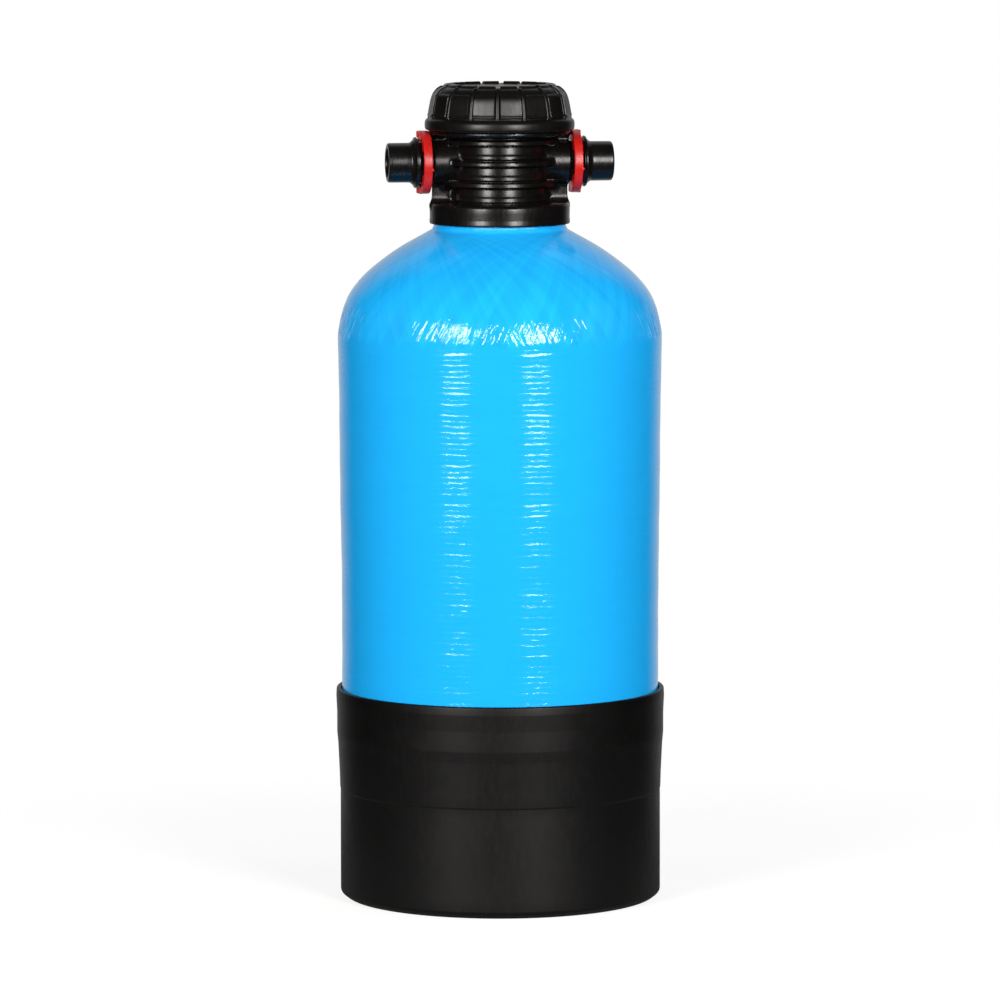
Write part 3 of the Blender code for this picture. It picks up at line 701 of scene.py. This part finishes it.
# groove-level outline from under the rim up to the axis: radius, height, then how far ridge and panel
# stand out there
CAP_ROWS = [
    (42.9, 495.0, 0, 0), (46.9, 495.0, 0, 0), (47.5, 495.3, 0, 0), (47.85, 495.9, 0, 0), (48.0, 496.9, 0, 0),
    (48.0, 499.2, 0, 0), (47.85, 500.3, 0, 0), (47.45, 501.2, 0, 0), (46.8, 501.9, 0, 0), (46.1, 502.4, 0.1, 0),
    (45.5, 502.8, 0.7, 0), (45.2, 503.2, 1.1, 0.1), (45.02, 503.7, 1.2, 0.55), (44.93, 504.1, 1.2, 1.05),
    (44.87, 504.5, 1.2, 1.25), (44.80, 504.9, 1.2, 1.05), (44.72, 505.4, 1.2, 0.85), (44.6, 506.1, 1.2, 0.8),
    (44.35, 507.6, 1.2, 0.8), (44.05, 509.3, 1.2, 0.8), (43.75, 510.9, 1.2, 0.8), (43.42, 512.5, 1.2, 0.82),
    (43.08, 514.0, 1.2, 0.86), (42.70, 515.3, 1.2, 0.9), (42.30, 516.4, 1.2, 0.9), (41.95, 517.2, 1.2, 0.8),
    (41.65, 517.8, 1.15, 0.55), (41.38, 518.3, 1.15, 0.2), (41.1, 518.7, 1.1, 0.0), (40.6, 519.4, 1.1, 0.0),
    (40.0, 520.1, 1.05, 0.0), (39.2, 520.9, 1.0, 0.0), (38.3, 521.6, 0.95, 0.0), (37.4, 522.1, 0.9, 0.0),
    (36.8, 522.35, 0.8, 0.0), (36.45, 522.45, 0.6, 0.2), (36.2, 522.5, 0.35, 0.55), (35.95, 522.55, 0.15, 0.9),
    (35.5, 522.62, 0, 1.25), (34.8, 522.7, 0, 1.5), (33.5, 522.7, 0, 1.65), (31.6, 522.7, 0, 1.62),
    (31.0, 522.7, 0, 1.55), (30.65, 522.7, 0, 1.2), (30.35, 522.7, 0, 0.6), (30.05, 522.68, 0, 0.1),
    (29.6, 522.66, 0, 0), (27.0, 522.62, 0, 0), (22.0, 522.5, 0, 0), (15.0, 522.4, 0, 0), (8.0, 522.35, 0, 0)]


def cap_mesh():
    rows = np.array(CAP_ROWS, float)
    # outward normals of the outline
    d = np.gradient(rows[:, :2], axis=0)
    nrm = np.stack([d[:, 1], -d[:, 0]], 1)
    nrm /= np.maximum(np.linalg.norm(nrm, axis=1), 1e-9)[:, None]
    half = PITCH_MM / 2
    verts, ids = [], []
    for (rr, zz, rib, panel), (nr, nz) in zip(rows, nrm):
        row = []
        for t, x in CAP_COLS:
            ridge = math.sqrt(max(0.0, 1 - (x / 1.45) ** 2))
            if zz > 522.3:                              # pads round the top's edge
                wide = x * rr / 44.0
                r2, z2 = rr + nr * rib * ridge, zz + nz * rib * ridge + panel * smooth01(1.0, 1.75, wide)
            else:                                       # flat panels between the ridges
                flat = rr * (1 / math.cos((half - x) / 44.0) - 1) - 0.25
                pad = smooth01(1.4, 2.1, x)
                out = rib * ridge + (panel + flat * min(1.0, panel)) * pad
                r2, z2 = rr + nr * out, zz + nz * out
            row.append(len(verts))
            verts.append((r2 * math.cos(t), r2 * math.sin(t), z2))
        ids.append(row)
    n = len(CAP_COLS)
    faces = []
    for a, b in zip(ids, ids[1:]):
        for i in range(n):
            j = (i + 1) % n
            faces.append((a[i], a[j], b[j], b[i]))
    c = len(verts)
    verts.append((0.0, 0.0, 522.3))
    for i in range(n):
        faces.append((ids[-1][i], ids[-1][(i + 1) % n], c))
    # underside: thread wall, roof, plug with its seal groove
    under = rounded([(42.9, 495.0), (42.9, 509.2, 0.6), (36.6, 509.2, 0.4), (36.6, 504.4, 0.2), (34.0, 504.4, 0.2),
                     (34.0, 501.3, 0.2), (36.6, 501.3, 0.2), (36.6, 498.0, 0.7), (31.4, 498.0, 0.7),
                     (31.2, 519.2, 2.0), (8.0, 519.2)], arc_deg=20)[1:]
    prev = ids[0]
    for rr, zz in under:
        row = []
        for t, _ in CAP_COLS:
            row.append(len(verts))
            verts.append((rr * math.cos(t), rr * math.sin(t), zz))
        for i in range(n):
            j = (i + 1) % n
            faces.append((prev[j], prev[i], row[i], row[j]))
        prev = row
    c = len(verts)
    verts.append((0.0, 0.0, 519.2))
    for i in range(n):
        faces.append((prev[(i + 1) % n], prev[i], c))
    return np.array(verts), faces


cv, cf = cap_mesh()
cap = add_mesh("cap_moulding", cv, cf, CAP, "filler_cap", sharp=55)
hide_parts("filler_cap")
ob = thread("cap_thread", 42.9, 41.4, 496.6, 505.2, 6.0, 2.4, CAP, "filler_cap", phase=math.pi * 0.15)

# ================================================================ spigots
for side, tag in ((-1, "inlet"), (1, "outlet")):
    prof = rounded([
        (7.0, 34.0, 0.4), (10.6, 34.0, 1.0), (10.6, 37.4, 0.2), (8.5, 37.4, 0.3), (8.5, 40.1, 0.3), (10.6, 40.1, 0.2),
        (10.6, 42.6, 0.2), (8.5, 42.6, 0.3), (8.5, 45.3, 0.3), (10.6, 45.3, 0.2), (10.6, 48.7), (17.9, 48.7, 0.3),
        (17.9, 50.05, 0.3), (12.9, 50.05, 0.4), (12.9, 52.8, 0.3), (15.3, 52.8, 0.4), (15.3, 54.0, 0.2), (16.3, 54.0, 0.35), (16.3, 55.2, 0.6),
        (14.6, 56.0, 1.2), (12.7, 58.2, 2.6), (12.65, 70.0), (12.6, 72.7, 2.4), (9.4, 72.7, 0.7), (8.9, 71.0), (8.8, 58.0, 0.6), (7.0, 55.5, 0.8)],
        closed=True, arc_deg=12, step=2.5)
    ob = turned(f"{tag}_spigot_moulding", prof, 96, SPIGOT, f"{tag}_spigot", sharp=40, along=side)
    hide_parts(f"{tag}_spigot")

# ================================================================ clips
CLIP_2D = Outline(rounded([
    (13.5, -2.83, 0.4), (20.0, -2.83, 0.8), (20.0, 2.83, 0.8), (13.5, 2.83, 0.4), (13.5, 1.88, 0.4), (18.35, 1.88, 0.3),
    (18.35, -1.88, 0.3), (13.5, -1.88, 0.4)], closed=True, arc_deg=20), pad=8.0, step=0.1)


CLIP_MID = 48.55


def clip_field(side):
    def f(x, y, z):
        w = z - Z_PORT
        u = x * side - CLIP_MID
        arm = y > 0
        rho = np.where(arm, np.abs(w), np.hypot(y, w))
        d = CLIP_2D(rho, u)
        # the lips are cut away across the front
        window = np.maximum(np.maximum(np.abs(w) - 7.3, rho - 17.9), y)
        d = blend_cut(d, window, 0.6)
        # arms stop a little behind the middle, with rounded ends
        d = -blend_union(-d, -(y - 7.4), 0.8)
        # catch lugs on the arms' ends, and a small moulding nib on one edge
        lug = round_box(u, y, np.abs(w), 0.9, 5.2, 17.9, 3.6, 1.9, 2.0, 0.6)
        d = blend_union(d, lug, 0.6)
        cheek = round_box(u, y, np.abs(w), 2.75, 2.2, 16.6, 1.0, 4.6, 3.4, 0.5)
        d = blend_union(d, np.maximum(cheek, 13.45 - np.hypot(y, w)), 0.5)
        nib = np.sqrt((x - (side * CLIP_MID + 2.8)) ** 2 + (y + 18.9) ** 2 + (w + 4.0) ** 2) - 1.0
        return blend_union(d, nib, 0.5)
    return f


for side, tag in ((-1, "inlet"), (1, "outlet")):
    x0 = side * CLIP_MID
    v, fc, nm = surface(clip_field(side), (x0 - 5.6, -21.5, Z_PORT - 22), (x0 + 5.6, 9.2, Z_PORT + 22), 0.4, (CLIP_2D,))
    ob = add_mesh(f"{tag}_clip_moulding", v, fc, RED, f"{tag}_clip", normals=nm)
    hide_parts(f"{tag}_clip")

# ================================================================ seals and inner pieces
def ring(name, R, r, at, mat, body, node, along=None, n=96, m=16):
    prof = [(R + r * math.cos(t), at + r * math.sin(t)) for t in np.arange(m) * TAU / m]
    ob = turned(name, prof, n, mat, body, sharp=None, along=along)
    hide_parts(node)
    return ob


ring("head_o_ring", 38.9, 1.15, 439.5, SEAL, "vessel", "head_seal")
ring("cap_o_ring", 35.45, 1.2, 502.85, SEAL, "cap_seal", "cap_seal")
ring("riser_o_ring", 14.9, 0.98, 448.3, SEAL, "vessel", "riser_seal", n=64)
for side, tag in ((-1, "inlet"), (1, "outlet")):
    for x, end in ((38.75, "inner"), (43.95, "outer")):
        ring(f"{tag}_{end}_o_ring", 9.72, 0.95, x, SEAL, f"{tag}_spigot", f"{tag}_{end}_seal", along=side, n=64)

for node, mat in (("tank_liner", LINER), ("neck_insert", WHITE), ("outlet_elbow", WHITE), ("riser_tube", WHITE),
                  ("upper_strainer", WHITE), ("lower_strainer", WHITE), ("resin_bed", RESIN),
                  ("outlet_gasket", SEAL)):
    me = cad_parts[node].data
    if not me.materials:
        me.materials.append(mat)
    for i in range(len(me.materials)):
        me.materials[i] = mat

# ================================================================ floor, light, world
def floor():
    m = Nodes("studio_floor")
    co = m.coords()
    dist = m.node("ShaderNodeVectorMath", operation="LENGTH")
    m.link(co, dist.inputs[0])
    tone = m.noise(co, 3, 2, 0.5)
    m.link(m.mix(tone, (0.30, 0.30, 0.30), (0.32, 0.32, 0.32)), m.bsdf.inputs["Base Color"])
    m.set(Roughness=0.9, Specular_IOR_Level=0.1, Emission_Color=(1, 1, 1, 1))
    eye_ray = m.node("ShaderNodeLightPath").outputs["Is Camera Ray"]
    m.link(m.math("MULTIPLY", eye_ray, 0.80), m.bsdf.inputs["Emission Strength"])
    m.link(m.ramp(dist.outputs["Value"], 0.20, 0.60, 1.0, 0.0), m.bsdf.inputs["Alpha"])
    verts, faces = revolve([(0.0, 0.0), (160.0, 0.0), (620.0, 0.0)], 96, closed=False)
    me = bpy.data.meshes.new("floor")
    me.from_pydata((verts * MM).tolist(), [], faces)
    me.materials.append(m.mat)
    ob = bpy.data.objects.new("floor", me)
    bpy.context.scene.collection.objects.link(ob)


floor()


def strip(name, azimuth, distance, z, width, height, watts, tilt=0.0, colour=(1, 1, 1)):
    a = CAM_AZ + math.radians(azimuth)
    data = bpy.data.lights.new(name, "AREA")
    data.shape = "RECTANGLE"
    data.size, data.size_y = width, height
    data.energy = watts
    data.color = colour
    ob = bpy.data.objects.new(name, data)
    ob.location = (math.cos(a) * distance, math.sin(a) * distance, z)
    aim = Vector((0, 0, z - math.tan(math.radians(tilt)) * distance))
    ob.rotation_euler = (ob.location - aim).to_track_quat("Z", "Y").to_euler()
    ob.visible_camera = False
    bpy.context.scene.collection.objects.link(ob)
    return ob


WARM = (1.0, 0.965, 0.945)
strip("strip_left", -31.0, 2.5, 0.925, 0.73, 1.05, 53.5, colour=WARM)
strip("strip_right", 26.0, 2.5, 0.925, 0.71, 1.05, 55.5, colour=WARM)
for name, azimuth, watts in (("fill_left", -78.0, 13.0), ("fill_right", 80.0, 23.5)):
    fill = strip(name, azimuth, 2.4, 1.35, 1.6, 1.4, watts)
    fill.visible_glossy = False

world = bpy.data.worlds.new("studio")
bpy.context.scene.world = world
world.use_nodes = True
wt = world.node_tree
wt.nodes.clear()
out = wt.nodes.new("ShaderNodeOutputWorld")
path = wt.nodes.new("ShaderNodeLightPath")
seen = wt.nodes.new("ShaderNodeBackground")
seen.inputs["Color"].default_value = (1, 1, 1, 1)
seen.inputs["Strength"].default_value = 1.0
room = wt.nodes.new("ShaderNodeBackground")
tex = wt.nodes.new("ShaderNodeTexCoord")


def vmath(op, a, b=None):
    n = wt.nodes.new("ShaderNodeVectorMath")
    n.operation = op
    wt.links.new(a, n.inputs[0])
    if b is not None:
        n.inputs[1].default_value = b
    return n


def steps(value, lo, hi, a, b):
    n = wt.nodes.new("ShaderNodeMapRange")
    n.interpolation_type = "SMOOTHSTEP"
    for k, v in zip(("From Min", "From Max", "To Min", "To Max"), (lo, hi, a, b)):
        n.inputs[k].default_value = v
    wt.links.new(value, n.inputs["Value"])
    return n.outputs["Result"]


def calc(op, a, b):
    n = wt.nodes.new("ShaderNodeMath")
    n.operation = op
    for sock, v in zip(n.inputs, (a, b)):
        if isinstance(v, float):
            sock.default_value = v
        else:
            wt.links.new(v, sock)
    return n.outputs[0]


# the room: a pale backdrop behind, a pale floor below, dim elsewhere
direction = vmath("NORMALIZE", tex.outputs["Generated"]).outputs["Vector"]
level = vmath("NORMALIZE", vmath("MULTIPLY", direction, (1.0, 1.0, 0.0)).outputs["Vector"]).outputs["Vector"]
behind = vmath("DOT_PRODUCT", level, (-math.cos(CAM_AZ), -math.sin(CAM_AZ), 0.0)).outputs["Value"]
up = vmath("DOT_PRODUCT", direction, (0.0, 0.0, 1.0)).outputs["Value"]
drop = calc("MULTIPLY", steps(behind, 0.66, 1.0, 0.0, 1.0), steps(up, 0.80, 0.95, 1.0, 0.0))
ground = steps(up, -0.45, -0.15, 0.03, 0.0)
wt.links.new(calc("MAXIMUM", calc("ADD", calc("MULTIPLY", drop, 0.62), 0.006), ground), room.inputs["Strength"])
room.inputs["Color"].default_value = (1, 1, 1, 1)
mixer = wt.nodes.new("ShaderNodeMixShader")
wt.links.new(path.outputs["Is Camera Ray"], mixer.inputs[0])
wt.links.new(room.outputs[0], mixer.inputs[1])
wt.links.new(seen.outputs[0], mixer.inputs[2])
wt.links.new(mixer.outputs[0], out.inputs[0])

# ================================================================ camera
cam_data = bpy.data.cameras.new("camera")
cam_data.sensor_width = 36.0
cam_data.lens = 253.17
cam_data.clip_end = 50.0
cam = bpy.data.objects.new("camera", cam_data)
bpy.context.scene.collection.objects.link(cam)
bpy.context.scene.camera = cam
eye = Vector((math.cos(CAM_AZ) * 4.5, math.sin(CAM_AZ) * 4.5, 0.738))
aim = Vector((0, 0, 0.2564))
look = (eye - aim).to_track_quat("Z", "Y")
cam.location = eye
cam.rotation_euler = (look.to_matrix() @ Matrix.Rotation(math.radians(-0.06), 3, "Z")).to_euler()

bpy.context.scene.view_settings.view_transform = "Standard"
bpy.context.scene.view_settings.look = "None"
